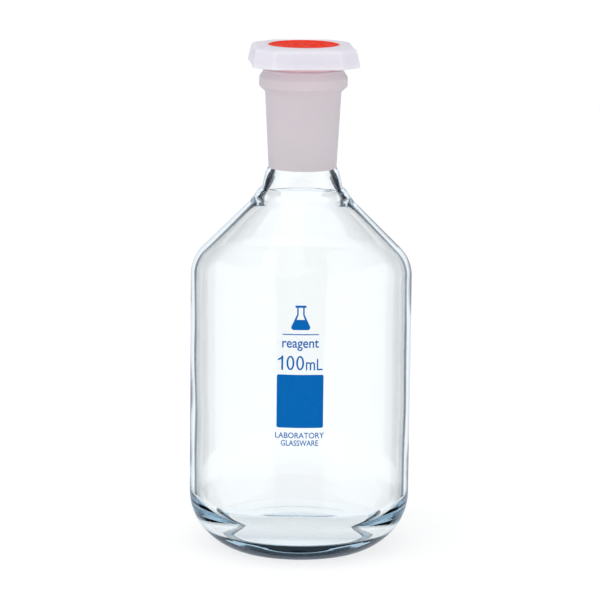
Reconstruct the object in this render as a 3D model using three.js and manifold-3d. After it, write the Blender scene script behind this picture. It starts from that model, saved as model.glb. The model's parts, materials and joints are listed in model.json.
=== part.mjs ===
// Reagent bottle, 100 ml, with a ground neck and a hollow plastic stopper.
//
// Millimetres, +Z up. The origin is the middle of the ring that the bottle stands on.
// Three separate solids: the glass, the stopper, and the colour-code disc in the stopper's head.

import * as THREE from 'three';
import * as BufferGeometryUtils from 'three/addons/utils/BufferGeometryUtils.js';
import Module from 'manifold-3d';

const wasm = await Module();
wasm.setup();

// ---- driving dimensions ----------------------------------------------------------------

const FIT_GAP = 0.3;            // left between pieces that touch on the real object

const body = {
  radius: 26,                   // outside of the straight wall
  wall: 1.4,
  heelTop: 12.4,                // the heel is part of an ellipse about this height ...
  heelWidth: 16,                // ... with these half axes, cut off at the table
  heelDepth: 14.1,
  restInner: 11.5,              // inner edge of the flat ring that touches the table
  puntRise: 1.1,                // how far the middle of the base is pushed up
  shoulderStart: 64.6,          // top of the straight wall
  shoulderRadius: 8.6,
  coneAngle: 45,                // slope of the shoulder cone, in degrees
};

const floor = {
  middle: 5.3,                  // height of the inside floor on the axis
  edge: 5.1,                    // and where the floor meets the inner heel
  flatRadius: 18.8,
};

const neck = {
  coneTopRadius: 12.2,          // the straight shoulder cone ends here ...
  foldRadius: 10.55,            // ... and folds in over this ...
  foldHeight: 84.4,
  creaseRadius: 9.4,            // ... to a crease under the clear neck ring
  creaseHeight: 85.4,
  ringBaseRadius: 9.1,
  ringBase: 86.8,
  ringRadius: 8.7,
  ringTop: 88.8,
  waistRadius: 7.95,            // narrowest place outside
  waistHeight: 90.2,
  topRadius: 8.88,              // the outer taper ends under the bead
  beadBase: 107.9,
};

const throat = {                // inside, from the ground socket down to the shoulder
  stepWidth: 0.6,               // each width is beyond the socket's end, each drop below it
  stepDrop: 1,
  creaseWidth: 2.2,
  creaseDrop: 5.2,
  foldWidth: 3.2,
  foldDrop: 7.7,
  coneWidth: 5.8,
  coneDrop: 10.1,
};

const bead = { radius: 10.3, bottom: 109.2, top: 111.3, chamferTop: 112.6 };
const lip = { radius: 9.45, top: 113.2, round: 0.5 };

const socket = {
  topRadius: 7.25,              // 14/23 joint: 14.5 mm at the large end, 23 mm long, taper 1 in 10
  length: 23,
  taper: 1 / 20,                // change of radius for each mm of height
};

const plug = {
  bottom: 93.3,
  cornerRound: 0.8,
  wall: 1.1,
  endWall: 1.2,
};

const head = {
  turn: 5,                      // degrees, how the head stands in the neck
  levels: [                     // half width, corner cut and height, from the underside up
    [12.6, 4.5, 114.2],
    [11.7, 4.1, 117.7],         // the drafted side faces end here
    [11.45, 3.95, 118.25],      // rounded upper edge
    [10.85, 3.75, 118.5],
    [9.4, 3.3, 118.9],          // the top is slightly crowned up to the disc
  ],
};

const disc = {
  radius: 8.2,
  seat: 117.4,                  // underside of the disc
  field: 118.6,
  rimTop: 118.9,
  rimWidth: 0.9,
  edgeRound: 0.2,
};

const AROUND = { glass: 64, stopper: 48 };

// ---- helpers ---------------------------------------------------------------------------

const degrees = THREE.MathUtils.degToRad;

/** Points on an ellipse from one angle to another, both ends included. */
function arc(centreR, centreZ, radiusR, radiusZ, from, to, steps) {
  const points = [];
  for (let i = 0; i <= steps; i += 1) {
    const angle = degrees(THREE.MathUtils.lerp(from, to, i / steps));
    points.push([centreR + radiusR * Math.cos(angle), centreZ + radiusZ * Math.sin(angle)]);
  }
  return points;
}

/** A solid turned about Z from [radius, height] points that run from the axis back to the axis. */
function turned(points, segments) {
  const profile = points.map(([r, z]) => new THREE.Vector2(r, z));
  const geometry = new THREE.LatheGeometry(profile, segments);
  geometry.rotateX(Math.PI / 2);
  return geometry;
}

/** Radius of the ground socket at a height. */
function socketRadius(height) {
  return socket.topRadius - (lip.top - height) * socket.taper;
}

/** Keep only positions, with shared corners merged. */
function welded(geometry) {
  const bare = geometry.clone();
  bare.deleteAttribute('normal');
  bare.deleteAttribute('uv');
  return BufferGeometryUtils.mergeVertices(bare, 1e-5);
}

/** A closed geometry as a solid that can be cut and joined. */
function toSolid(geometry) {
  const clean = welded(geometry);
  return new wasm.Manifold(new wasm.Mesh({
    numProp: 3,
    vertProperties: new Float32Array(clean.attributes.position.array),
    triVerts: new Uint32Array(clean.index.array),
  }));
}

/** The solid back as a three.js geometry. */
function toGeometry(solid) {
  const mesh = solid.getMesh();
  const geometry = new THREE.BufferGeometry();
  geometry.setAttribute('position', new THREE.BufferAttribute(mesh.vertProperties, 3));
  geometry.setIndex(new THREE.BufferAttribute(mesh.triVerts, 1));
  geometry.computeVertexNormals();
  return geometry;
}

/** The eight corners of a square with its corners cut off, anticlockwise from above. */
function cutSquare(half, cut, height) {
  const near = half - cut;
  const corners = [
    [half, -near], [half, near], [near, half], [-near, half],
    [-half, near], [-half, -near], [-near, -half], [near, -half],
  ];
  return corners.map(([x, y]) => [x, y, height]);
}

/** A closed solid through a stack of outlines that all have the same number of points. */
function lofted(rings) {
  const count = rings[0].length;
  const positions = rings.flat(2);
  const index = [];
  for (let r = 0; r + 1 < rings.length; r += 1) {
    for (let i = 0; i < count; i += 1) {
      const a = r * count + i;
      const b = r * count + (i + 1) % count;
      index.push(a, b, b + count, a, b + count, a + count);
    }
  }
  const last = (rings.length - 1) * count;
  for (let i = 1; i + 1 < count; i += 1) {
    index.push(0, i + 1, i);
    index.push(last, last + i, last + i + 1);
  }
  const geometry = new THREE.BufferGeometry();
  geometry.setAttribute('position', new THREE.Float32BufferAttribute(positions, 3));
  geometry.setIndex(index);
  return geometry;
}

// ---- the glass -------------------------------------------------------------------------

/** Outside of the glass, from the middle of the base up to the lip. */
function glassOutside() {
  const cornerR = body.radius - body.shoulderRadius;
  const corner = arc(cornerR, body.shoulderStart, body.shoulderRadius, body.shoulderRadius,
    0, 90 - body.coneAngle, 6);
  const [cornerEndR, cornerEndZ] = corner.at(-1);
  const coneTop = cornerEndZ
    + (cornerEndR - neck.coneTopRadius) * Math.tan(degrees(body.coneAngle));
  const restAngle = THREE.MathUtils.radToDeg(Math.asin(body.heelTop / body.heelDepth));
  return [
    ...arc(0, 0, body.restInner, body.puntRise, 90, 0, 4),
    ...arc(body.radius - body.heelWidth, body.heelTop, body.heelWidth, body.heelDepth,
      -restAngle, 0, 10),
    ...corner,
    [neck.coneTopRadius, coneTop],
    [neck.foldRadius, neck.foldHeight],
    [neck.creaseRadius, neck.creaseHeight],
    [neck.ringBaseRadius, neck.ringBase],
    [neck.ringRadius, neck.ringTop],
    [neck.waistRadius, neck.waistHeight],
    [neck.topRadius, neck.beadBase],
    [bead.radius, bead.bottom],
    [bead.radius, bead.top],
    [lip.radius, bead.chamferTop],
    [lip.radius, lip.top - lip.round],
    [lip.radius - lip.round, lip.top],
  ];
}

/** Inside of the glass, from the lip down to the middle of the floor. */
function glassInside() {
  const end = lip.top - socket.length;
  const endRadius = socketRadius(end);
  const innerRadius = body.radius - body.wall;
  const cornerR = body.radius - body.shoulderRadius;
  const cornerRound = body.shoulderRadius - body.wall;
  const corner = arc(cornerR, body.shoulderStart, cornerRound, cornerRound,
    90 - body.coneAngle, 0, 6);
  const heelWidth = innerRadius - floor.flatRadius;
  return [
    [socketRadius(lip.top), lip.top],
    [endRadius, end],
    [endRadius + throat.stepWidth, end - throat.stepDrop],
    [endRadius + throat.creaseWidth, end - throat.creaseDrop],
    [endRadius + throat.foldWidth, end - throat.foldDrop],
    [endRadius + throat.coneWidth, end - throat.coneDrop],
    ...corner,
    ...arc(floor.flatRadius, body.heelTop, heelWidth, body.heelTop - floor.edge, 0, -90, 8),
    [0, floor.middle],
  ];
}

function makeGlass() {
  return turned([...glassOutside(), ...glassInside()], AROUND.glass);
}

// ---- the stopper -----------------------------------------------------------------------

/** Tapered plug, closed at its lower end, running up into the head. */
function makePlug() {
  const radiusAt = (height) => socketRadius(height) - FIT_GAP;
  const [, , underside] = head.levels[0];
  const intoHead = underside + plug.wall;
  return turned([
    [0, plug.bottom],
    [radiusAt(plug.bottom) - plug.cornerRound, plug.bottom],
    [radiusAt(plug.bottom), plug.bottom + plug.cornerRound],
    [radiusAt(lip.top), lip.top],
    [radiusAt(lip.top), intoHead],
    [0, intoHead],
  ], AROUND.stopper);
}

/** The hollow of the plug, which runs up to the disc's seat. */
function makeHollow() {
  const radiusAt = (height) => socketRadius(height) - FIT_GAP - plug.wall;
  const start = plug.bottom + plug.endWall;
  return turned([
    [0, start],
    [radiusAt(start), start],
    [radiusAt(lip.top), lip.top],
    [radiusAt(lip.top), disc.seat],
    [0, disc.seat],
  ], AROUND.stopper);
}

/** The round recess that the disc is pressed into, with room for the gap all round. */
function makeRecess() {
  const bottom = disc.seat - FIT_GAP;
  const top = disc.rimTop + FIT_GAP;
  return turned([
    [0, bottom],
    [disc.radius + FIT_GAP, bottom],
    [disc.radius + FIT_GAP, top],
    [0, top],
  ], AROUND.stopper);
}

/** Eight-sided head: drafted faces, a rounded upper edge and a crowned top. */
function makeHead() {
  const geometry = lofted(head.levels.map(([half, cut, height]) => cutSquare(half, cut, height)));
  geometry.rotateZ(degrees(head.turn));
  return geometry;
}

function makeStopper() {
  const whole = toSolid(makeHead()).add(toSolid(makePlug()));
  const hollowed = whole.subtract(toSolid(makeHollow()));
  return toGeometry(hollowed.subtract(toSolid(makeRecess())));
}

/** Colour-code disc with a raised rim. */
function makeDisc() {
  const rimInner = disc.radius - disc.rimWidth;
  return turned([
    [0, disc.seat],
    [disc.radius, disc.seat],
    [disc.radius, disc.rimTop - disc.edgeRound],
    [disc.radius - disc.edgeRound, disc.rimTop],
    [rimInner + disc.edgeRound, disc.rimTop],
    [rimInner, disc.field],
    [0, disc.field],
  ], AROUND.stopper);
}

// ---- the object ------------------------------------------------------------------------

function piece(name, geometry, settings) {
  const mesh = new THREE.Mesh(geometry, new THREE.MeshStandardMaterial(settings));
  mesh.name = name;
  return mesh;
}

const bottle = new THREE.Group();
bottle.add(
  piece('glass_bottle', makeGlass(), {
    color: 0xe6f0f2, roughness: 0.03, metalness: 0, transparent: true, opacity: 0.35,
  }),
  piece('stopper', makeStopper(), { color: 0xe6e6f0, roughness: 0.45, metalness: 0 }),
  piece('stopper_disc', makeDisc(), { color: 0xee483a, roughness: 0.4, metalness: 0 }),
);

export default bottle;
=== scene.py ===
import json
import logging
import math
from collections.abc import Callable, Iterable, Sequence
from dataclasses import dataclass
from enum import Enum

import bmesh
import bpy
from mathutils import Matrix, Quaternion, Vector

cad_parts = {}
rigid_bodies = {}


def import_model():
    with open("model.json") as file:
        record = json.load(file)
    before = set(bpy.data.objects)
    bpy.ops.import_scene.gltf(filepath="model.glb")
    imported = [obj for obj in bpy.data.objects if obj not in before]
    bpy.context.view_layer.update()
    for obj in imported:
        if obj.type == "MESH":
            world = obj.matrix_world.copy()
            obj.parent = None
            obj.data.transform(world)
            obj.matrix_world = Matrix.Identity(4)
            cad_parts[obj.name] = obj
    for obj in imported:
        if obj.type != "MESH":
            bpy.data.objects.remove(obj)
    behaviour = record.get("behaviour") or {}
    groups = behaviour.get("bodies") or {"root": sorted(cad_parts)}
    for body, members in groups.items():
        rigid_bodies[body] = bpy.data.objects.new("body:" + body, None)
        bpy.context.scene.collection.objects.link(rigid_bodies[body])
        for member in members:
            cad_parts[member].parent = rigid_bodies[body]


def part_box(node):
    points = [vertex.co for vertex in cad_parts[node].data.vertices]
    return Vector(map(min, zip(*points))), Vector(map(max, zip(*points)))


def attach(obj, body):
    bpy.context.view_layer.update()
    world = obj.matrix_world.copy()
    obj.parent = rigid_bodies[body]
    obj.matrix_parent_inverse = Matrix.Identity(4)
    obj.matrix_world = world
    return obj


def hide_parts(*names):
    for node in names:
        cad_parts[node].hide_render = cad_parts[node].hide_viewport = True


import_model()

# Looks of a 100 ml reagent bottle: polished glass with a ground neck, a hollow plastic stopper
# with a red code disc, and blue enamel print on the front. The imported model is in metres, +Z up,
# and the print faces -Y. Sizes in the classes are millimetres, and become metres in the meshes.

MM = 0.001
DISC_MIDDLE = (0.0, 0.0, 117.4)   # middle of the red disc; nearby pieces get a painted red glow centred here
# centre of the painted pink emission in the stopper's plug, which stands in for light through the disc
PAINTED_PLUG_GLOW_MIDDLE = (0.0, 0.0, 114.4)
STRAIGHT = math.radians(89.9)   # half the angle at a corner that is too flat to round
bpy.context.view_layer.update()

log = logging.getLogger("reagent_bottle")

Outline = list[tuple[float, float]]
Colour = tuple[float, float, float]
Stops = tuple[tuple[float, Colour], ...]


# ---- shader tools ----------------------------------------------------------------------


class Signal:
    """A number that comes out of a node. Arithmetic on it adds Math nodes."""

    def __init__(self, tree: bpy.types.NodeTree, socket: bpy.types.NodeSocket) -> None:
        """Wrap one output socket."""
        self.tree = tree
        self.socket = socket

    def _math(self, operation: str, first: object, second: object) -> "Signal":
        """Add one Math node.

        Args:
            operation: the Math node's operation.
            first: left value, a number or a Signal.
            second: right value, a number or a Signal.

        Returns:
            The node's result.
        """
        node = self.tree.nodes.new("ShaderNodeMath")
        node.operation = operation
        for slot, value in zip(node.inputs, (first, second)):
            if isinstance(value, Signal):
                self.tree.links.new(value.socket, slot)
            else:
                slot.default_value = value
        return Signal(self.tree, node.outputs[0])

    def __add__(self, other: object) -> "Signal":
        """self + other"""
        return self._math("ADD", self, other)

    def __radd__(self, other: object) -> "Signal":
        """other + self"""
        return self._math("ADD", other, self)

    def __sub__(self, other: object) -> "Signal":
        """self - other"""
        return self._math("SUBTRACT", self, other)

    def __rsub__(self, other: object) -> "Signal":
        """other - self"""
        return self._math("SUBTRACT", other, self)

    def __mul__(self, other: object) -> "Signal":
        """self * other"""
        return self._math("MULTIPLY", self, other)

    def __rmul__(self, other: object) -> "Signal":
        """other * self"""
        return self._math("MULTIPLY", other, self)

    def at_most(self, limit: float) -> "Signal":
        """The smaller of this and a limit."""
        return self._math("MINIMUM", self, limit)


class Shader:
    """The node tree of one material or world."""

    def __init__(self, owner: bpy.types.ID) -> None:
        """Start with an empty tree.

        Args:
            owner: the material or world that the tree belongs to.
        """
        owner.use_nodes = True
        self.tree = owner.node_tree
        self.tree.nodes.clear()

    def node(
        self, kind: str, settings: dict | None = None, inputs: dict | None = None
    ) -> bpy.types.Node:
        """Add a node of any type.

        Args:
            kind: node type without its "ShaderNode" prefix.
            settings: properties set first; "stops" fills a colour ramp.
            inputs: a value, a Signal or a socket for each input, by name or number.

        Returns:
            The new node.
        """
        node = self.tree.nodes.new(f"ShaderNode{kind}")
        for key, value in (settings or {}).items():
            if key == "stops":
                self._fill_ramp(node.color_ramp, value)
            else:
                setattr(node, key, value)
        for key, value in (inputs or {}).items():
            source = value.socket if isinstance(value, Signal) else value
            if isinstance(source, bpy.types.NodeSocket):
                self.tree.links.new(source, node.inputs[key])
            else:
                node.inputs[key].default_value = source
        return node

    def principled(self, inputs: dict) -> bpy.types.NodeSocket:
        """A Principled shader with these inputs, by name."""
        return self.node("BsdfPrincipled", inputs=inputs).outputs[0]

    @staticmethod
    def _fill_ramp(ramp: bpy.types.ColorRamp, stops: Sequence[tuple[float, Colour]]) -> None:
        """Give a colour ramp its stops, from left to right."""
        while len(ramp.elements) < len(stops):
            ramp.elements.new(1.0)
        for element, (position, colour) in zip(ramp.elements, stops):
            element.position = position
            element.color = (*colour, 1.0)

    def signal(self, node: bpy.types.Node, output: str | int = 0) -> Signal:
        """One output of a node, ready for arithmetic."""
        return Signal(self.tree, node.outputs[output])

    def place(self) -> bpy.types.NodeSocket:
        """Position on the piece itself, in metres."""
        return self.node("TexCoord").outputs["Object"]

    def noise(self, per_metre: float, detail: float = 2.0, stretch: Sequence[float] = (1, 1, 1)) -> Signal:
        """Soft noise that is fixed to the piece.

        Args:
            per_metre: how many lumps there are in a metre.
            detail: how many finer layers are added.
            stretch: scale along each axis.

        Returns:
            The noise, about 0 to 1.
        """
        scaled = self.node("Mapping", inputs={"Vector": self.place(), "Scale": tuple(stretch)})
        texture = self.node(
            "TexNoise",
            inputs={"Vector": scaled.outputs[0], "Scale": per_metre, "Detail": detail},
        )
        return self.signal(texture, 0)

    def ball(self, centre_mm: Sequence[float], reach_mm: float) -> Signal:
        """A soft ball that is fixed to the piece.

        Args:
            centre_mm: its middle, in millimetres.
            reach_mm: its radius.

        Returns:
            1 in the middle, falling to 0 at the radius.
        """
        scale = 1 / (reach_mm * MM)
        moved = self.node(
            "Mapping",
            inputs={
                "Vector": self.place(),
                "Location": tuple(-c * MM * scale for c in centre_mm),
                "Scale": (scale,) * 3,
            },
        )
        kind = {"gradient_type": "SPHERICAL"}
        return self.signal(self.node("TexGradient", kind, {"Vector": moved.outputs[0]}), 1)

    def blend(
        self,
        mask: Signal | float,
        low: Colour | bpy.types.NodeSocket,
        high: Colour | bpy.types.NodeSocket,
    ) -> bpy.types.NodeSocket:
        """Mix two colours.

        Args:
            mask: 0 gives low, 1 gives high.
            low: colour where the mask is 0.
            high: colour where the mask is 1.

        Returns:
            The mixed colour.
        """
        mix = self.tree.nodes.new("ShaderNodeMix")
        mix.data_type = "RGBA"
        for slot, value in ((mix.inputs[0], mask), (mix.inputs[6], low), (mix.inputs[7], high)):
            if isinstance(value, Signal):
                self.tree.links.new(value.socket, slot)
            elif isinstance(value, bpy.types.NodeSocket):
                self.tree.links.new(value, slot)
            else:
                slot.default_value = (*value, 1.0) if isinstance(value, tuple) else value
        return mix.outputs[2]

    def bump(self, height: Signal, depth_mm: float, strength: float = 1.0) -> bpy.types.NodeSocket:
        """Surface relief.

        Args:
            height: the relief, 0 to 1.
            depth_mm: how deep a full step of the relief is.
            strength: how much of it shows.

        Returns:
            A normal.
        """
        node = self.node(
            "Bump",
            inputs={"Height": height, "Distance": depth_mm * MM, "Strength": strength},
        )
        return node.outputs[0]


@dataclass(frozen=True)
class Finish:
    """Base of every finish: a named material with a Principled shader."""

    name: str

    def material(self) -> bpy.types.Material:
        """Build the material, or give back the one that is already made."""
        ready = bpy.data.materials.get(self.name)
        if ready is not None:
            return ready
        material = bpy.data.materials.new(self.name)
        shader = Shader(material)
        sockets = {"Surface": self.surface(shader)}
        volume = self.volume(shader)
        if volume is not None:
            sockets["Volume"] = volume
        shader.node("OutputMaterial", inputs=sockets)
        return material

    def surface(self, shader: Shader) -> bpy.types.NodeSocket:
        """Make the nodes and return the shader socket."""
        raise NotImplementedError

    def volume(self, shader: Shader) -> bpy.types.NodeSocket | None:
        """What fills the piece, for the clear finishes."""
        return None


@dataclass(frozen=True)
class Glass(Finish):
    """Borosilicate glass that takes a little red out of the light on its way through."""

    ior: float = 1.473
    stain: Colour = (0.0, 0.40, 0.64)
    stain_per_mm: float = 0.018

    def volume(self, shader: Shader) -> bpy.types.NodeSocket | None:
        """Even absorption inside the wall."""
        absorption = shader.node(
            "VolumeAbsorption",
            inputs={"Color": (*self.stain, 1.0), "Density": self.stain_per_mm / MM},
        )
        return absorption.outputs[0]


@dataclass(frozen=True)
class PolishedGlass(Glass):
    """Clear blown glass, slightly uneven."""

    name: str = "polished_glass"
    smudge: Colour = (0.985, 0.992, 0.995)
    clean: Colour = (1.0, 1.0, 1.0)
    wave_depth: float = 0.004

    def surface(self, shader: Shader) -> bpy.types.NodeSocket:
        """Principled glass whose normal follows slow waves."""
        waves = shader.noise(70.0, 1.0, (1.0, 1.0, 0.45))
        smudge = shader.noise(160.0, 4.0)
        return shader.principled({
            "Base Color": shader.blend(smudge, self.smudge, self.clean),
            "Roughness": smudge * smudge * 0.012,
            "IOR": self.ior,
            "Transmission Weight": 1.0,
            "Normal": shader.bump(waves, self.wave_depth),
        })


@dataclass(frozen=True)
class GroundGlass(Glass):
    """Glass with a matt face: the ground joint in the neck, and the satin outside of the neck."""

    name: str = "ground_glass"
    light: Colour = (0.98, 0.89, 0.925)
    shade: Colour = (0.93, 0.85, 0.885)
    # painted red glow: pink mixed into the base colour near the disc, standing in for red light through
    # the disc
    glow: Colour = (1.0, 0.72, 0.75)
    roughness: float = 0.45
    clear_share: float = 0.7
    grain_depth: float = 0.02

    def surface(self, shader: Shader) -> bpy.types.NodeSocket:
        """Rough glass with fine turning marks left by the grinding tool, and a painted red glow near the
        disc.
        """
        grain = shader.noise(9000.0, 2.0)
        marks = shader.noise(900.0, 3.0, (0.15, 0.15, 3.0))
        cloud = shader.noise(220.0, 3.0)
        white = shader.blend(cloud, self.shade, self.light)
        # painted red glow: the base colour turns pink near the disc
        painted_red_glow_mask = shader.ball(DISC_MIDDLE, 12.0)
        return shader.principled({
            "Base Color": shader.blend(painted_red_glow_mask, white, self.glow),
            "Roughness": self.roughness + cloud * 0.12,
            "IOR": self.ior,
            "Transmission Weight": self.clear_share,
            "Normal": shader.bump(grain * 0.6 + marks * 0.4, self.grain_depth, 0.5),
        })


@dataclass(frozen=True)
class NaturalPlastic(Finish):
    """Undyed polypropylene: milky, satin, and lit through where it is thin; a painted red glow and a
    painted pink emission by the disc stand in for light through the disc.
    """

    name: str = "natural_polypropylene"
    light: Colour = (0.815, 0.79, 0.85)
    shade: Colour = (0.755, 0.73, 0.79)
    # painted red glow: base colour near the disc
    glow: Colour = (0.86, 0.42, 0.42)
    # painted light: emission colour that makes the plug glow pink below the disc, though it is no lamp
    painted_plug_glow_colour: Colour = (1.0, 0.60, 0.64)

    def surface(self, shader: Shader) -> bpy.types.NodeSocket:
        """Milky body colour with moulding clouds, a fine satin grain, a painted red glow by the disc and a
        painted pink emission below it.
        """
        cloud = shader.noise(160.0, 3.0)
        grain = shader.noise(4500.0, 3.0)
        flow = shader.noise(500.0, 2.0, (1.0, 1.0, 0.2))
        # masks for the painted red glow by the disc and the painted pink emission below it
        painted_red_glow_mask = shader.ball(DISC_MIDDLE, 12.5)
        painted_plug_glow_mask = shader.ball(PAINTED_PLUG_GLOW_MIDDLE, 12.0)
        milk = shader.blend(cloud, self.shade, self.light)
        return shader.principled({
            "Base Color": shader.blend(painted_red_glow_mask * painted_red_glow_mask, milk, self.glow),
            "Roughness": 0.34 + cloud * 0.12 + grain * 0.06,
            "IOR": 1.49,
            "Subsurface Weight": 0.85,
            "Subsurface Radius": (1.0, 0.92, 0.95),
            "Subsurface Scale": 2.6 * MM,
            # painted light: pink emission below the disc
            "Emission Color": shader.blend(painted_plug_glow_mask * painted_plug_glow_mask, (0.0, 0.0, 0.0), self.painted_plug_glow_colour),
            "Emission Strength": 1.6,
            "Normal": shader.bump(grain * 0.5 + flow * 0.5, 0.012, 0.5),
        })


@dataclass(frozen=True)
class RedPlastic(Finish):
    """Opaque red-orange plastic of the code disc."""

    name: str = "disc_plastic"
    light: Colour = (0.97, 0.072, 0.032)
    shade: Colour = (0.78, 0.034, 0.018)

    def surface(self, shader: Shader) -> bpy.types.NodeSocket:
        """Saturated red with a little pigment streaking and a satin grain."""
        cloud = shader.noise(420.0, 4.0)
        grain = shader.noise(5200.0, 2.0)
        return shader.principled({
            "Base Color": shader.blend(cloud, self.shade, self.light),
            "Roughness": 0.42 + grain * 0.14,
            "IOR": 1.5,
            "Specular IOR Level": 0.02,
            "Normal": shader.bump(grain, 0.01, 0.5),
        })


@dataclass(frozen=True)
class BlueEnamel(Finish):
    """Fired blue enamel, even and nearly matt."""

    name: str = "blue_enamel"
    full: Colour = (0.0, 0.120, 0.415)
    thin: Colour = (0.004, 0.140, 0.460)

    def surface(self, shader: Shader) -> bpy.types.NodeSocket:
        """Flat print colour with slight differences in thickness."""
        cloud = shader.noise(700.0, 4.0)
        grain = shader.noise(6000.0, 2.0)
        return shader.principled({
            "Base Color": shader.blend(cloud, self.full, self.thin),
            "Roughness": 0.42 + grain * 0.1,
            "IOR": 1.5,
            "Specular IOR Level": 0.02,
            "Normal": shader.bump(grain, 0.004, 0.4),
        })


@dataclass(frozen=True)
class PaleFloor(Finish):
    """Matt white table paper."""

    name: str = "pale_floor"
    light: Colour = (0.38, 0.38, 0.38)
    shade: Colour = (0.36, 0.36, 0.36)
    glow: float = 0.70

    def surface(self, shader: Shader) -> bpy.types.NodeSocket:
        """A little uneven, and lit from within so that it comes out almost white."""
        cloud = shader.noise(8.0, 3.0)
        return shader.principled({
            "Base Color": shader.blend(cloud, self.shade, self.light),
            "Roughness": 1.0,
            "Specular IOR Level": 0.0,
            "Emission Color": (1.0, 1.0, 1.0, 1.0),
            "Emission Strength": self.glow,
        })


@dataclass(frozen=True)
class LightScreen(Finish):
    """A glowing sheet, as it stands white in the middle and dark towards its edge."""

    name: str = "light_screen"
    reach: float = 1.0
    stops: Stops = (
        (0.00, (1.12, 1.135, 1.13)),
        (0.15, (1.12, 1.135, 1.135)),
        (0.30, (1.14, 1.15, 1.16)),
        (0.448, (1.14, 1.17, 1.20)),
        (0.505, (1.00, 1.06, 1.12)),
        (0.548, (0.03, 0.05, 0.075)),
        (0.805, (0.008, 0.016, 0.028)),
    )

    def surface(self, shader: Shader) -> bpy.types.NodeSocket:
        """Emission that depends on the distance from the screen's own middle."""
        away = 1.0 - shader.ball((0.0, 0.0, 0.0), self.reach / MM)
        ramp = shader.node("ValToRGB", {"stops": self.stops}, {"Fac": away})
        emission = shader.node("Emission", inputs={"Color": ramp.outputs[0]})
        return emission.outputs[0]


# ---- mesh tools ------------------------------------------------------------------------


def placed(name: str, data: bpy.types.ID) -> bpy.types.Object:
    """Make an object and link it to the scene."""
    item = bpy.data.objects.new(name, data)
    bpy.context.scene.collection.objects.link(item)
    return item


def draw(curve: bpy.types.Curve, line: Iterable[tuple[float, float]], height: float, closed: bool) -> None:
    """Add straight stretches through points to a curve.

    Args:
        curve: the curve that gets them.
        line: the points, in the curve's own units.
        height: their place along Z.
        closed: True to join the last point to the first.
    """
    points = list(line)
    spline = curve.splines.new("POLY")
    spline.points.add(len(points) - 1)
    for point, (x, y) in zip(spline.points, points):
        point.co = (x, y, height, 1)
    spline.use_cyclic_u = closed


def mesh_of(curve: bpy.types.Curve) -> bpy.types.Mesh:
    """The mesh of a curve or a line of text."""
    holder = placed(curve.name, curve)
    bpy.context.view_layer.update()
    mesh = bpy.data.meshes.new_from_object(holder)
    bpy.data.objects.remove(holder)
    return mesh


def rounded(corners: Sequence[tuple[float, float, float]], step: float = 0.4) -> Outline:
    """A path through corners, each rounded by its own radius.

    Args:
        corners: (radius from axis, height, corner radius) in millimetres.
        step: longest distance between two points, in millimetres.

    Returns:
        Points of the path, evenly spread.
    """
    path: list[Vector] = []
    last = len(corners) - 1
    for i, (r, z, fillet) in enumerate(corners):
        here = Vector((r, z))
        if fillet == 0 or i in (0, last):
            path.append(here)
            continue
        before = (Vector(corners[i - 1][:2]) - here).normalized()
        after = (Vector(corners[i + 1][:2]) - here).normalized()
        half = before.angle(after) / 2
        if half > STRAIGHT:
            path.append(here)
            continue
        back = fillet / math.tan(half)
        centre = here + (before + after).normalized() * fillet / math.sin(half)
        start, end = here + before * back, here + after * back
        sweep = (start - centre).angle_signed(end - centre)
        steps = max(3, math.ceil(abs(sweep) * fillet / step))
        for k in range(steps + 1):
            turn = Matrix.Rotation(-sweep * k / steps, 2)
            path.append(centre + turn @ (start - centre))
    points: Outline = []
    for a, b in zip(path, path[1:]):
        pieces = max(1, math.ceil((b - a).length / (step * 3)))
        points.extend(tuple(a.lerp(b, k / pieces)) for k in range(pieces))
    points.append(tuple(path[-1]))
    return points


def quarter(
    centre: tuple[float, float], radii: tuple[float, float], start: float, end: float, steps: int = 28
) -> Outline:
    """Part of an ellipse.

    Args:
        centre: its middle.
        radii: half its width and half its height.
        start: first angle, in degrees.
        end: last angle.
        steps: number of straight stretches.

    Returns:
        Points, both ends included.
    """
    points = []
    for k in range(steps + 1):
        angle = math.radians(start + (end - start) * k / steps)
        points.append((centre[0] + radii[0] * math.cos(angle), centre[1] + radii[1] * math.sin(angle)))
    return points


def dome(edge: float, low: float, rise: float, outward: bool, steps: int = 10) -> Outline:
    """A shallow rise in the middle of a round floor.

    Args:
        edge: radius where the rise starts.
        low: height at that edge.
        rise: how much higher the middle is.
        outward: True to run from the middle out.
        steps: number of points.

    Returns:
        Points, without the one at the edge.
    """
    points = []
    for k in range(steps):
        share = k / steps
        points.append((edge * share, low + rise * (1 + math.cos(math.pi * share)) / 2))
    return points if outward else points[::-1]


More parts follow.
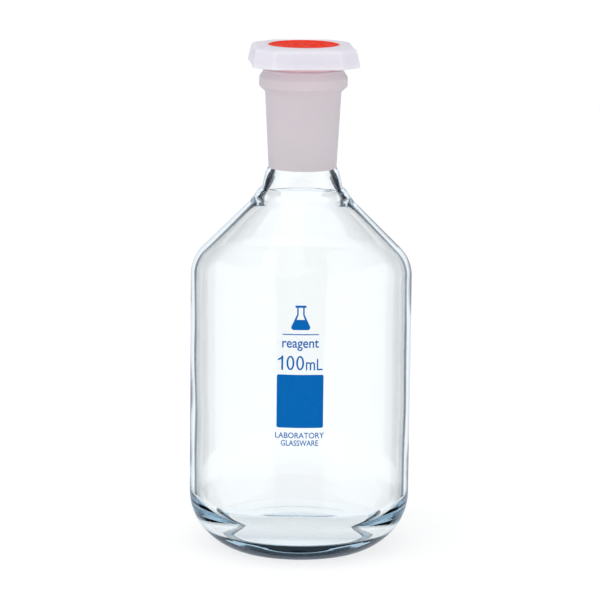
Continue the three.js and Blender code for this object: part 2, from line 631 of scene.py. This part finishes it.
class RingSkin:
    """A closed skin made of rings that run from the axis out and back to the axis."""

    def __init__(self, around: int) -> None:
        """Start a skin with this many points in each ring."""
        self.around = around
        self.rings: list[tuple[list[Vector], int]] = []

    def add(self, place: Callable[[float], tuple[float, float]], zone: int = 0) -> None:
        """Add a ring.

        Args:
            place: gives (radius, height) in millimetres for an angle in radians.
            zone: material number of the faces between this ring and the next.
        """
        ring = []
        for k in range(self.around):
            angle = 2 * math.pi * k / self.around
            r, z = place(angle)
            ring.append(Vector((r * math.sin(angle), -r * math.cos(angle), z)) * MM)
        on_axis = max(abs(p.x) + abs(p.y) for p in ring) < 1e-7
        self.rings.append((ring[:1] if on_axis else ring, zone))

    def turn(self, outline: Outline, zone: int = 0) -> None:
        """Add a round ring for each point of an outline."""
        for r, z in outline:
            self.add(lambda angle, r=r, z=z: (r, z), zone)

    def mesh(self, name: str) -> bpy.types.Mesh:
        """Join the rings into one closed mesh."""
        vertices: list[Vector] = []
        starts = []
        for ring, _ in self.rings:
            starts.append(len(vertices))
            vertices.extend(ring)
        faces, zones = [], []
        for (a, zone), (b, _), sa, sb in zip(self.rings, self.rings[1:], starts, starts[1:]):
            for k in range(self.around):
                n = (k + 1) % self.around
                if len(a) == 1:
                    faces.append((sa, sb + n, sb + k))
                elif len(b) == 1:
                    faces.append((sa + k, sa + n, sb))
                else:
                    faces.append((sa + k, sa + n, sb + n, sb + k))
                zones.append(zone)
        mesh = bpy.data.meshes.new(name)
        mesh.from_pydata(vertices, [], faces)
        mesh.polygons.foreach_set("material_index", zones)
        return mesh


def finished(
    name: str, mesh: bpy.types.Mesh, finishes: Iterable[Finish], sharp: float = 40.0
) -> bpy.types.Object:
    """Put a mesh in the scene with its finishes.

    Args:
        name: name of the piece.
        mesh: its mesh, in metres in the frame.
        finishes: one for each material number.
        sharp: edges sharper than this many degrees stay crisp.

    Returns:
        The new object.
    """
    for finish in finishes:
        mesh.materials.append(finish.material())
    mesh.validate()
    tidy = bmesh.new()
    tidy.from_mesh(mesh)
    bmesh.ops.recalc_face_normals(tidy, faces=tidy.faces)
    tidy.to_mesh(mesh)
    tidy.free()
    mesh.polygons.foreach_set("use_smooth", [True] * len(mesh.polygons))
    mesh.set_sharp_from_angle(angle=math.radians(sharp))
    return placed(name, mesh)


# ---- the glass -------------------------------------------------------------------------


class GlassZone(Enum):
    """The finishes on the glass, as material numbers."""

    POLISHED = 0
    GROUND = 1
    SATIN = 2


@dataclass
class GlassBody:
    """The blown bottle: body, shoulder, neck ring, ground neck, bead and lip."""

    wall: float = 1.4
    heel_top: float = 12.4
    heel_width: float = 16.0
    heel_depth: float = 14.1
    rest_inner: float = 11.5
    punt_rise: float = 1.1
    shoulder_start: float = 64.6
    shoulder_round: float = 8.6
    cone_top_radius: float = 12.2
    fold_radius: float = 10.55
    fold_height: float = 84.4
    crease_radius: float = 9.4
    crease_height: float = 85.4
    ring_base_radius: float = 9.1
    ring_base: float = 86.8
    ring_radius: float = 8.7
    ring_top: float = 88.8
    waist_radius: float = 7.95
    waist_height: float = 90.2
    neck_top_radius: float = 8.88
    bead_radius: float = 10.3
    lip_radius: float = 9.45
    socket_radius: float = 7.25
    socket_length: float = 23.0
    socket_taper: float = 1 / 20
    floor_middle: float = 5.3
    floor_edge: float = 5.1
    floor_radius: float = 20.8
    floor_flat_radius: float = 14.0
    inner_heel_top: float = 11.0
    satin_from: float = 90.1
    print_room: float = 0.04
    around: int = 192

    def __post_init__(self) -> None:
        """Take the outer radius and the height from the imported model."""
        low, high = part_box("glass_bottle")
        self.radius = (high.x - low.x) / 2 / MM - self.print_room
        self.top = high.z / MM
        self.socket_end = self.top - self.socket_length
        self.socket_end_radius = self.socket_radius - self.socket_length * self.socket_taper
        self.shoulder_corner = self.shoulder_start + self.shoulder_round * math.tan(math.pi / 8)

    def outside(self) -> Outline:
        """Outer surface from the middle of the base up to the top of the lip."""
        top = self.top
        heel_centre = (self.radius - self.heel_width, self.heel_top)
        rest_angle = math.degrees(math.asin(self.heel_top / self.heel_depth))
        heel = quarter(heel_centre, (self.heel_width, self.heel_depth), -rest_angle, 0)
        cone_top = self.shoulder_corner + self.radius - self.cone_top_radius
        return [
            *dome(self.rest_inner, 0.0, self.punt_rise, outward=True),
            *rounded([(self.rest_inner, 0, 0), (heel[0][0] - 0.8, 0, 0)]),
            *rounded([(heel[0][0] - 0.4, 0, 0), (*heel[0], 0.5), (*heel[2], 0)])[:-1],
            *heel[2:-1],
            *rounded([
                (self.radius, self.heel_top, 0),
                (self.radius, self.shoulder_corner, self.shoulder_round),
                (self.cone_top_radius, cone_top, 4.0),
                (self.fold_radius, self.fold_height, 0.8),
                (self.crease_radius, self.crease_height, 0.12),
                (self.ring_base_radius, self.ring_base, 1.5),
                (self.ring_radius, self.ring_top, 0.6),
                (self.waist_radius, self.waist_height, 0.4),
                (self.neck_top_radius, top - 5.3, 0.35),
                (self.bead_radius, top - 4.0, 0.35),
                (self.bead_radius, top - 1.9, 0.35),
                (self.lip_radius, top - 0.6, 0.2),
                (self.lip_radius, top, 0.35),
                (self.socket_radius + 1.0, top, 0),
            ]),
        ]

    def socket(self) -> Outline:
        """The ground taper, from the top of the lip down to its lower end."""
        return rounded([
            (self.socket_radius + 1.0, self.top, 0),
            (self.socket_radius, self.top, 0.25),
            (self.socket_end_radius, self.socket_end, 0),
        ])[1:]

    def inside(self) -> Outline:
        """Inner surface from the end of the socket down to the middle of the floor."""
        end, end_radius = self.socket_end, self.socket_end_radius
        inner = self.radius - self.wall
        cone_sum = self.shoulder_corner + self.radius - self.wall * math.sqrt(2)
        foot = self.cone_top_radius - 0.2
        return [
            *rounded([
                (end_radius + 0.1, end - 0.05, 0),
                (end_radius + 0.3, end - 0.6, 0.4),
                (end_radius + 2.2, end - 5.3, 2.5),
                (end_radius + 3.25, end - 7.6, 2.0),
                (foot, cone_sum - foot, 3.0),
                (inner, cone_sum - inner, self.shoulder_round - self.wall),
                (inner, self.inner_heel_top, 7.0),
                (self.floor_radius, self.floor_edge, 0.6),
                (self.floor_flat_radius, self.floor_edge, 0),
            ])[:-1],
            *dome(self.floor_flat_radius, self.floor_edge, self.floor_middle - self.floor_edge,
                  outward=False),
        ]

    def unevenness(self, angle: float, height: float) -> float:
        """How much the blown inner wall wanders.

        Args:
            angle: direction from the front, in radians.
            height: height above the table, in millimetres.

        Returns:
            Distance outwards, in millimetres.
        """
        slow = math.sin(2 * angle + 0.09 * height) + 0.6 * math.sin(3 * angle - 0.13 * height + 1.0)
        fine = math.sin(5 * angle + 0.31 * height + 2.0)
        fade = min(1.0, max(0.0, (self.crease_height - height) / 12)) * min(1.0, height / 9)
        return (0.035 * slow + 0.012 * fine) * fade

    def build(self) -> bpy.types.Object:
        """Make the glass as one closed skin with polished, ground and satin zones.

        Returns:
            The bottle's object.
        """
        skin = RingSkin(self.around)
        for r, z in self.outside():
            zone = GlassZone.SATIN if z > self.satin_from else GlassZone.POLISHED
            skin.turn([(r, z)], zone.value)
        skin.turn(self.socket(), GlassZone.GROUND.value)
        for r, z in self.inside():
            skin.add(
                lambda angle, r=r, z=z: (r + self.unevenness(angle, z) * (r > 1), z),
                GlassZone.POLISHED.value,
            )
        satin = GroundGlass("satin_glass", roughness=0.35, clear_share=0.35, grain_depth=0.008)
        finishes = (PolishedGlass(), GroundGlass(), satin)
        return finished("bottle_glass", skin.mesh("bottle_glass"), finishes)


# ---- the stopper -----------------------------------------------------------------------


@dataclass
class Stopper:
    """Hollow plastic stopper: eight-sided head, tapered plug and a seat for the disc."""

    foot_half: float = 12.6
    edge_half: float = 11.65
    crown_half: float = 9.5
    crown_rise: float = 0.5
    corner_cut: float = 4.5
    cut_draft: float = 0.38
    edge_round: float = 0.75
    foot_round: float = 0.3
    face_dish: float = 0.22
    crispness: float = 90.0
    turn: float = 5.0
    seat_radius: float = 8.32
    seat_depth: float = 1.6
    plug_wall: float = 1.1
    plug_gap: float = 0.08
    plug_length: float = 20.9
    plug_floor: float = 1.3
    plug_taper: float = 1 / 20
    socket_radius: float = 7.25
    around: int = 240

    def __post_init__(self) -> None:
        """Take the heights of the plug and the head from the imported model."""
        low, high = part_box("stopper")
        self.bottom = low.z / MM
        self.top = high.z / MM
        self.underside = self.bottom + self.plug_length
        self.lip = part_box("glass_bottle")[1].z / MM

    def plug_radius(self, height: float) -> float:
        """Radius of the tapered plug at a height."""
        return self.socket_radius - (self.lip - height) * self.plug_taper - self.plug_gap

    def outline(self, half: float, angle: float) -> float:
        """Radius of the head's outline.

        Args:
            half: distance from the axis to the four wide faces.
            angle: direction, in radians, from the front.

        Returns:
            The radius in that direction, in millimetres.
        """
        cut = self.corner_cut - self.cut_draft * (self.foot_half - half)
        corner = (2 * half - cut) / math.sqrt(2)
        wide = half - cut
        total = 0.0
        for face in range(8):
            off = angle - math.radians(self.turn + 45 * face)
            facing = math.cos(off)
            if facing <= 0.2:
                continue
            distance = corner
            if face % 2 == 0:
                along = half * math.tan(off) / wide
                distance = half - self.face_dish * max(0.0, 1 - along * along)
            total += (facing / distance) ** self.crispness
        return total ** (-1 / self.crispness)

    def head_levels(self) -> list[tuple[float, float]]:
        """(half width, height) up the drafted side and over the rounded edge."""
        edge = self.top - self.crown_rise
        return rounded([
            (self.foot_half - 2.0, self.underside, 0),
            (self.foot_half, self.underside, self.foot_round),
            (self.edge_half, edge, self.edge_round),
            (self.crown_half, self.top, 1.5),
            (self.crown_half - 0.3, self.top, 0),
        ], step=0.18)

    def build(self) -> bpy.types.Object:
        """Make the stopper as one closed skin, from the plug's end up and back down inside.

        Returns:
            The stopper's object.
        """
        skin = RingSkin(self.around)
        shank = self.underside - 0.01
        plug_side = rounded([
            (0, self.bottom, 0),
            (self.plug_radius(self.bottom), self.bottom, 0.8),
            (self.plug_radius(shank), shank, 0.35),
            (self.plug_radius(shank) + 1.2, shank, 0),
        ])
        skin.turn(plug_side)
        for half, z in self.head_levels():
            skin.add(lambda angle, half=half, z=z: (self.outline(half, angle), z))
        floor = self.top - self.seat_depth
        hollow_top = self.plug_radius(self.lip) - self.plug_wall
        hollow_end = self.bottom + self.plug_floor
        inner = rounded([
            (self.seat_radius + 0.6, self.top, 0),
            (self.seat_radius, self.top, 0.2),
            (self.seat_radius, floor, 0.15),
            (hollow_top, floor, 0.3),
            (hollow_top, self.lip, 0),
            (self.plug_radius(hollow_end) - self.plug_wall, hollow_end, 0.8),
            (0, hollow_end, 0),
        ])
        skin.turn(inner)
        return finished("stopper_body", skin.mesh("stopper_body"), (NaturalPlastic(),), 50.0)


@dataclass
class CodeDisc:
    """Red disc in the stopper's head, with a raised rim, ring, ticks and the joint size."""

    rim_width: float = 0.8
    field_depth: float = 0.28
    ring_radius: float = 6.6
    ring_rise: float = 0.1
    bead: float = 0.15
    tick_count: int = 24
    tick_span: tuple[float, float] = (5.5, 6.2)
    figure_height: float = 4.0
    figure_pitch: float = 1.85
    turn: float = 5.0
    around: int = 144

    def __post_init__(self) -> None:
        """Take the disc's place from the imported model."""
        low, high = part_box("stopper_disc")
        self.radius = (high.x - low.x) / 2 / MM
        self.bottom = low.z / MM
        self.top = high.z / MM
        self.field = self.top - self.field_depth

    def plate(self) -> bpy.types.Mesh:
        """The turned disc itself."""
        rim = self.radius - self.rim_width
        inner, outer = self.ring_radius - 0.15, self.ring_radius + 0.15
        levels = rounded([
            (0, self.bottom, 0),
            (self.radius, self.bottom, 0.15),
            (self.radius, self.top, 0.2),
            (rim, self.top, 0.12),
            (rim - 0.15, self.field, 0.12),
            (outer + 0.1, self.field, 0.04),
            (outer, self.field + self.ring_rise, 0.04),
            (inner, self.field + self.ring_rise, 0.04),
            (inner - 0.1, self.field, 0.04),
            (0, self.field, 0),
        ], step=0.15)
        skin = RingSkin(self.around)
        skin.turn(levels)
        return skin.mesh("code_disc")

    def figures(self) -> list[Outline]:
        """Centre lines of the joint size, 14/23, in a box one unit high for each figure."""
        one = [(-0.2, 0.76), (0.08, 1.0), (0.08, 0.0)]
        four = [(0.14, 0.0), (0.14, 1.0), (-0.26, 0.3), (0.28, 0.3)]
        slash = [(-0.18, -0.05), (0.18, 1.05)]
        two = [*quarter((0, 0.73), (0.25, 0.27), 165, -35, 10), (-0.25, 0.0), (0.27, 0.0)]
        three = [
            *quarter((0, 0.76), (0.22, 0.24), 150, -80, 9),
            *quarter((0, 0.27), (0.26, 0.27), 80, -155, 10),
        ]
        glyphs = (one, four, slash, two, three)
        middle = (len(glyphs) - 1) / 2
        lines = []
        for place, glyph in enumerate(glyphs):
            across = (place - middle) * self.figure_pitch
            lines.append([
                (across + x * self.figure_height, (y - 0.5) * self.figure_height)
                for x, y in glyph
            ])
        return lines

    def ticks(self) -> list[Outline]:
        """Short radial lines inside the ring, left out beside the figures."""
        lines = []
        for k in range(self.tick_count):
            angle = 2 * math.pi * (k + 0.5) / self.tick_count
            start, end = self.tick_span
            if abs(math.sin(angle)) < 0.4:
                continue
            lines.append([(r * math.cos(angle), r * math.sin(angle)) for r in (start, end)])
        return lines

    def relief(self) -> bpy.types.Object:
        """Raise the figures and ticks as round beads, half sunk in the field.

        Returns:
            The raised marks as one piece.
        """
        curve = bpy.data.curves.new("disc_relief", "CURVE")
        curve.dimensions = "3D"
        curve.bevel_depth = self.bead * MM
        curve.bevel_resolution = 3
        curve.use_fill_caps = True
        turn = Matrix.Rotation(math.radians(self.turn), 2)
        for line in (*self.figures(), *self.ticks()):
            turned = (turn @ Vector(place) for place in line)
            draw(curve, ((x * MM, y * MM) for x, y in turned), self.field * MM, closed=False)
        return finished("disc_relief", mesh_of(curve), (RedPlastic(),), 50.0)

    def build(self) -> list[bpy.types.Object]:
        """Make the disc and its raised marks.

        Returns:
            The pieces.
        """
        return [finished("code_disc", self.plate(), (RedPlastic(),), 50.0), self.relief()]


# ---- the print -------------------------------------------------------------------------


@dataclass(frozen=True)
class Capacity:
    """The capacity, 100 mL, in plain upright figures, as closed flat outlines."""

    height: float = 3.35
    stroke: float = 0.43
    nought_width: float = 1.82
    small_stroke: float = 0.32
    em_width: float = 2.1
    em_height: float = 1.9
    ell_width: float = 1.35
    ell_height: float = 2.65

    def one(self) -> list[Outline]:
        """The figure 1, with its flag."""
        right, tall = 1.2, self.height
        stem = right - self.stroke
        return [[
            (stem, 0), (right, 0), (right, tall), (stem + 0.12, tall), (stem - 0.1, tall - 0.38),
            (0, tall - 0.78), (0, tall - 1.2), (stem, tall - 0.82),
        ]]

    def nought(self) -> list[Outline]:
        """The figure 0, an upright ring."""
        centre = (self.nought_width / 2, self.height / 2)
        wide, tall = centre
        outer = quarter(centre, (wide, tall), 0, 360, 40)[:-1]
        inner = quarter(centre, (wide - self.stroke, tall - self.stroke * 0.9), 0, 360, 40)[:-1]
        return [outer, inner]

    def em(self) -> list[Outline]:
        """The small letter m: three stems and two arches."""
        line, tall = self.small_stroke, self.em_height
        pitch = (self.em_width - line) / 2
        outer, inner = (pitch + line) / 2, (pitch - line) / 2
        outline = [(0, 0), (0, tall), (line, tall), (line, tall - line * 0.75)]
        for k in range(2):
            centre = (pitch * k + outer, tall - outer)
            outline += quarter(centre, (outer, outer), 125, 45 if k == 0 else 0, 8)
        outline += [(self.em_width, 0), (self.em_width - line, 0)]
        outline += quarter((pitch + outer, tall - outer), (inner, outer - line), 0, 180, 8)
        outline += [(pitch + line, 0), (pitch, 0)]
        outline += quarter((outer, tall - outer), (inner, outer - line), 0, 180, 8)
        outline.append((line, 0))
        return [outline]

    def ell(self) -> list[Outline]:
        """The capital L."""
        line = self.small_stroke
        return [[
            (0, 0), (self.ell_width, 0), (self.ell_width, line), (line, line),
            (line, self.ell_height), (0, self.ell_height),
        ]]

    def outlines(self, low: float) -> list[Outline]:
        """The whole line.

        Args:
            low: height of the figures' feet above the table.

        Returns:
            Closed loops, centred across.
        """
        wide = 1.2 + 2 * self.nought_width + self.em_width + self.ell_width
        gaps = (0.75, 0.4, 0.42, 0.4, 0.0)
        across = -(wide + sum(gaps)) / 2
        widths = (1.2, self.nought_width, self.nought_width, self.em_width, self.ell_width)
        glyphs = (self.one(), self.nought(), self.nought(), self.em(), self.ell())
        loops = []
        for glyph, width, gap in zip(glyphs, widths, gaps):
            loops += [[(across + x, low + y) for x, y in loop] for loop in glyph]
            across += width + gap
        return loops


@dataclass
class PrintWork:
    """Blue enamel on the front of the glass, wrapped round the body."""

    radius: float
    thickness: float = 0.035
    panel_size: tuple[float, float] = (10.75, 12.45)
    panel_middle: float = 39.8
    panel_corner: float = 0.45
    rule_size: tuple[float, float] = (8.4, 0.24)
    rule_middle: float = 55.4
    rule_corner: float = 0.1
    sign_size: tuple[float, float] = (5.0, 5.7)
    sign_middle: float = 59.3
    capacity_foot: float = 47.1
    boldness: float = 0.012
    strip_width: float = 0.45

    def wrap(self, flat: bpy.types.Mesh) -> None:
        """Bend a flat mesh, in millimetres, round the glass and give it metres."""
        outer = self.radius + self.thickness
        for vertex in flat.vertices:
            x, z, lift = vertex.co
            turn = x / self.radius
            r = (outer if lift > 0.5 else self.radius + 0.002)
            vertex.co = Vector((r * math.sin(turn), -r * math.cos(turn), z)) * MM

    def solid(self, name: str, outlines: Sequence[Outline]) -> bpy.types.Object:
        """Turn closed flat outlines into a thin piece of enamel on the glass.

        Args:
            name: name of the piece.
            outlines: closed loops of (across, height) in millimetres.

        Returns:
            The piece.
        """
        curve = bpy.data.curves.new(name, "CURVE")
        curve.dimensions = "2D"
        curve.fill_mode = "BOTH"
        for outline in outlines:
            draw(curve, outline, 0.0, closed=True)
        return self.enamel(name, curve)

    def words(
        self, name: str, text: str, cap_height: float, middle: float, width: float
    ) -> bpy.types.Object:
        """Set a line of plain letters or figures on the glass.

        Args:
            name: name of the piece.
            text: what it says.
            cap_height: height of a capital, in millimetres.
            middle: height of the line's middle above the table.
            width: width of the whole line, in millimetres.

        Returns:
            The piece.
        """
        curve = bpy.data.curves.new(name, "FONT")
        curve.body = text
        curve.offset = self.boldness
        curve.fill_mode = "BOTH"
        return self.enamel(name, curve, (width, cap_height), middle)

    def enamel(
        self,
        name: str,
        curve: bpy.types.Curve,
        fit: tuple[float, float] | None = None,
        middle: float = 0.0,
    ) -> bpy.types.Object:
        """Fill a curve, cut it into narrow strips, thicken it and lay it on the glass.

        Args:
            name: name of the piece.
            curve: flat outlines or text.
            fit: width and height to scale to, or None to keep the size.
            middle: height of the middle when it is scaled.

        Returns:
            The piece.
        """
        flat = mesh_of(curve)
        work = bmesh.new()
        work.from_mesh(flat)
        bmesh.ops.remove_doubles(work, verts=work.verts, dist=1e-5)
        if fit is not None:
            xs = [v.co.x for v in work.verts]
            ys = [v.co.y for v in work.verts]
            wide, tall = max(xs) - min(xs), max(ys) - min(ys)
            for v in work.verts:
                v.co.x = (v.co.x - (max(xs) + min(xs)) / 2) * fit[0] / wide
                v.co.y = (v.co.y - (max(ys) + min(ys)) / 2) * fit[1] / tall + middle
        low = min(v.co.x for v in work.verts)
        high = max(v.co.x for v in work.verts)
        strips = max(1, math.ceil((high - low) / self.strip_width))
        for k in range(1, strips):
            cut = low + (high - low) * k / strips
            bmesh.ops.bisect_plane(
                work,
                geom=[*work.verts, *work.edges, *work.faces],
                plane_co=(cut, 0, 0),
                plane_no=(1, 0, 0),
            )
        top = bmesh.ops.extrude_face_region(work, geom=work.faces[:])
        raised = [g for g in top["geom"] if isinstance(g, bmesh.types.BMVert)]
        for v in raised:
            v.co.z = 1.0
        bmesh.ops.recalc_face_normals(work, faces=work.faces)
        work.to_mesh(flat)
        work.free()
        flat.name = name
        self.wrap(flat)
        return finished(name, flat, (BlueEnamel(),), 30.0)

    def rectangle(self, width: float, height: float, middle: float, corner: float) -> Outline:
        """A rectangle with rounded corners.

        Args:
            width: its width.
            height: its height.
            middle: height of its middle above the table.
            corner: radius of its corners.

        Returns:
            A closed loop in millimetres.
        """
        points = []
        for sx, sy, start in ((1, -1, -90), (1, 1, 0), (-1, 1, 90), (-1, -1, 180)):
            centre = (sx * (width / 2 - corner), middle + sy * (height / 2 - corner))
            points.extend(quarter(centre, (corner, corner), start, start + 90, 5))
        return points

    def flask(self, middle: float, width: float, height: float) -> list[Outline]:
        """A plain conical flask as a sign: the outline and the empty part above the liquid.

        Args:
            middle: height of the sign's middle above the table.
            width: width of the sign.
            height: height of the sign.

        Returns:
            Two closed loops.
        """
        low, high = middle - height / 2, middle + height / 2
        neck, lip = width * 0.17, width * 0.25
        shoulder = high - height * 0.36
        half = rounded([
            (0, low, 0),
            (width / 2, low, width * 0.12),
            (neck, shoulder, width * 0.1),
            (neck, high - height * 0.09, 0),
            (lip, high - height * 0.09, 0.05),
            (lip, high, 0.05),
            (0, high, 0),
        ], step=0.2)
        outline = [*half, *[(-x, z) for x, z in half[-2:0:-1]]]
        line = width * 0.075
        level = low + height * 0.42
        at_level = neck + (width / 2 - neck) * (shoulder - level) / (shoulder - low) - line * 1.25
        inner = [
            (at_level, level),
            (neck - line * 0.9, shoulder - line * 0.4),
            (neck - line * 0.9, high - height * 0.09),
            (-neck + line * 0.9, high - height * 0.09),
            (-neck + line * 0.9, shoulder - line * 0.4),
            (-at_level, level),
        ]
        return [outline, inner]

    def build(self) -> list[bpy.types.Object]:
        """Lay every printed piece on the glass.

        Returns:
            The pieces.
        """
        panel = self.rectangle(*self.panel_size, self.panel_middle, self.panel_corner)
        rule = self.rectangle(*self.rule_size, self.rule_middle, self.rule_corner)
        return [
            self.solid("print_panel", [panel]),
            self.solid("print_rule", [rule]),
            self.solid("print_sign", self.flask(self.sign_middle, *self.sign_size)),
            self.solid("print_capacity", Capacity().outlines(self.capacity_foot)),
            self.words("print_use", "reagent", 2.6, 52.9, 8.4),
            self.words("print_line_upper", "LABORATORY", 1.35, 31.8, 11.3),
            self.words("print_line_lower", "GLASSWARE", 1.35, 30.0, 8.6),
        ]


# ---- the studio ------------------------------------------------------------------------


def even(colour: Colour) -> Stops:
    """Stops for a sheet that glows the same all over."""
    return ((0.0, colour), (1.0, colour))


def frozen(work: bmesh.types.BMesh, name: str) -> bpy.types.Mesh:
    """Turn a work mesh into a mesh, and use it up."""
    mesh = bpy.data.meshes.new(name)
    work.to_mesh(mesh)
    work.free()
    return mesh


def disc(radius: float) -> bmesh.types.BMesh:
    """A flat round sheet, as a work mesh."""
    work = bmesh.new()
    bmesh.ops.create_circle(work, cap_ends=True, segments=96, radius=radius)
    return work


def hide_from(item: bpy.types.Object, *rays: str) -> None:
    """Keep an object out of these kinds of light path."""
    for ray in rays:
        setattr(item, f"visible_{ray}", False)


@dataclass
class Studio:
    """Floor, surround, lamp, lit sheets and camera. Its sizes are metres and degrees."""

    camera_distance: float = 0.772
    camera_height_angle: float = 11.0
    aim_height: float = 0.0584
    aim_side: float = -0.00024
    roll: float = 0.63
    lens: float = 196.8
    lamp_aim: float = 0.06
    screen_behind: float = 1.2
    screen_radius: float = 1.25
    edge_glow: Colour = (0.50, 0.56, 0.62)
    mat_radius: float = 0.055
    mat_glow: Stops = ((0.0, (1.07, 1.08, 1.08)), (1.0, (1.10, 1.11, 1.11)))
    table_radius: float = 12.0
    table_level: float = -0.0002
    light_steps: int = 28   # light turns many times inside the thick heel before it leaves
    side_radius: float = 1.0
    side_front: float = 1.4
    side_back: float = 0.50
    side_glow: Colour = (0.78, 0.80, 0.82)
    surround_tint: Colour = (0.965, 0.98, 1.0)
    surround_seen: float = 1.06
    surround_light: float = 0.92
    surround_in_gloss: float = 0.06
    surround_through_glass: float = 0.02

    def floor(self) -> None:
        """A wide round sheet at table level."""
        sheet = finished("table_sheet", frozen(disc(self.table_radius), "table_sheet"), (PaleFloor(),))
        sheet.location.z = self.table_level
        hide_from(sheet, "transmission", "glossy", "shadow")

    def camera(self) -> bpy.types.Object:
        """A long lens that looks slightly down on the bottle."""
        data = bpy.data.cameras.new("camera")
        data.lens = self.lens
        data.sensor_width = 36.0
        data.clip_start, data.clip_end = 0.01, 40.0
        camera = placed("camera", data)
        tilt = math.radians(self.camera_height_angle)
        back = Vector((0, -math.cos(tilt), math.sin(tilt)))
        aim = Vector((self.aim_side, 0, self.aim_height))
        camera.rotation_mode = "QUATERNION"
        camera.location = aim + back * self.camera_distance
        level = (-back).to_track_quat("-Z", "Y")
        camera.rotation_quaternion = level @ Quaternion((0, 0, 1), math.radians(self.roll))
        bpy.context.scene.camera = camera
        return camera

    def light(self, work: bmesh.types.BMesh, finish: LightScreen) -> bpy.types.Object:
        """A glowing sheet that shows only in the glass, until its maker changes that.

        Args:
            work: its shape, which is used up.
            finish: its glow, which also names it.

        Returns:
            The sheet.
        """
        sheet = finished(finish.name, frozen(work, finish.name), (finish,))
        hide_from(sheet, "camera", "diffuse", "glossy", "shadow")
        return sheet

    def screen(self, camera: bpy.types.Object) -> None:
        """Hang the lit screen behind the bottle, on the camera's own stand.

        It lights the matt pieces too. A second, dimmer sheet in the same place is what is
        mirrored, above all at the edges of the glass.

        Args:
            camera: the camera that carries both.
        """
        screen = self.light(disc(self.screen_radius), LightScreen(reach=self.screen_radius))
        screen.visible_diffuse = True
        dim = LightScreen("edge_screen", stops=even(self.edge_glow))
        mirrored = self.light(disc(self.screen_radius), dim)
        mirrored.visible_glossy = True
        hide_from(mirrored, "transmission")
        for sheet in (screen, mirrored):
            sheet.parent = camera
            sheet.location = (0, 0, -self.camera_distance - self.screen_behind)

    def side_light(self, camera: bpy.types.Object) -> None:
        """Stand a pale sheet on either side, past the dark gap beside the screen.

        Args:
            camera: the camera that carries them.
        """
        work = bmesh.new()
        bmesh.ops.create_cone(
            work,
            cap_ends=False,
            segments=96,
            radius1=self.side_radius,
            radius2=self.side_radius,
            depth=self.side_front + self.side_back,
        )
        work.normal_update()
        middle = [face for face in work.faces if abs(face.normal.x) < abs(face.normal.y)]
        bmesh.ops.delete(work, geom=middle, context="FACES")
        sheet = self.light(work, LightScreen("side_light", stops=even(self.side_glow)))
        sheet.parent = camera
        sheet.location.z = (self.side_front - self.side_back) / 2 - self.camera_distance

    def glow_mat(self) -> None:
        """Lay a pale glow under the bottle, for the light that comes up through the heel."""
        mat = self.light(disc(self.mat_radius), LightScreen("glow_mat", self.mat_radius, self.mat_glow))
        mat.location.z = self.table_level / 2

    def surround(self) -> None:
        """White surround as the camera sees it, softer for matt pieces and dark for the glass."""
        world = bpy.data.worlds.new("surround")
        bpy.context.scene.world = world
        shader = Shader(world)
        path = shader.node("LightPath")
        seen = shader.signal(path, "Is Camera Ray")
        glossy = shader.signal(path, "Is Glossy Ray")
        scattered = shader.signal(path, "Diffuse Depth").at_most(1.0)
        clear = glossy * self.surround_in_gloss + (1.0 - glossy) * self.surround_through_glass
        strength = scattered * self.surround_light + (1.0 - scattered) * clear
        colour = shader.blend(seen, self.surround_tint, (1.0, 1.0, 1.0))
        background = shader.node(
            "Background",
            inputs={
                "Color": colour,
                "Strength": seen * self.surround_seen + (1.0 - seen) * strength,
            },
        )
        shader.node("OutputWorld", inputs={"Surface": background.outputs[0]})

    def lamp(self, name: str, place: Vector, size: float, power: float) -> None:
        """A square softbox aimed at the bottle.

        Args:
            name: name of the lamp.
            place: where it hangs, in metres.
            size: side of the softbox, in metres.
            power: in watts.
        """
        data = bpy.data.lights.new(name, "AREA")
        data.shape = "SQUARE"
        data.size = size
        data.energy = power
        lamp = placed(name, data)
        lamp.location = place
        lamp.rotation_euler = (Vector((0, 0, self.lamp_aim)) - place).to_track_quat("-Z", "Y").to_euler()
        hide_from(lamp, "camera", "transmission")

    def build(self) -> None:
        """Set up everything that isn't part of the bottle."""
        self.floor()
        camera = self.camera()
        self.screen(camera)
        self.side_light(camera)
        self.glow_mat()
        self.surround()
        self.lamp("top_softbox", Vector((-0.3, -0.5, 1.1)), 0.9, 2.2)
        paths = bpy.context.scene.cycles
        paths.max_bounces = self.light_steps
        paths.glossy_bounces = self.light_steps
        paths.transmission_bounces = self.light_steps
        view = bpy.context.scene.view_settings
        view.view_transform = "Standard"
        view.look = "None"


# ---- assembly --------------------------------------------------------------------------


def main() -> None:
    """Build the looks in order and report each piece."""
    logging.basicConfig(level=logging.INFO, format="%(name)s: %(message)s")
    Studio().build()
    log.info("studio: floor, surround, screen, lamp and camera")

    glass = GlassBody()
    bottle = glass.build()
    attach(bottle, "bottle")
    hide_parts("glass_bottle")
    log.info("bottle_glass: %d faces", len(bottle.data.polygons))

    for piece in PrintWork(glass.radius).build():
        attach(piece, "bottle")
        log.info("%s: %d faces", piece.name, len(piece.data.polygons))

    stopper = Stopper().build()
    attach(stopper, "stopper_set")
    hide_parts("stopper")
    log.info("stopper_body: %d faces", len(stopper.data.polygons))

    for piece in CodeDisc().build():
        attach(piece, "stopper_set")
        if piece.name == "code_disc":
            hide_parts("stopper_disc")
        log.info("%s: %d faces", piece.name, len(piece.data.polygons))


if __name__ == "__main__":
    main()
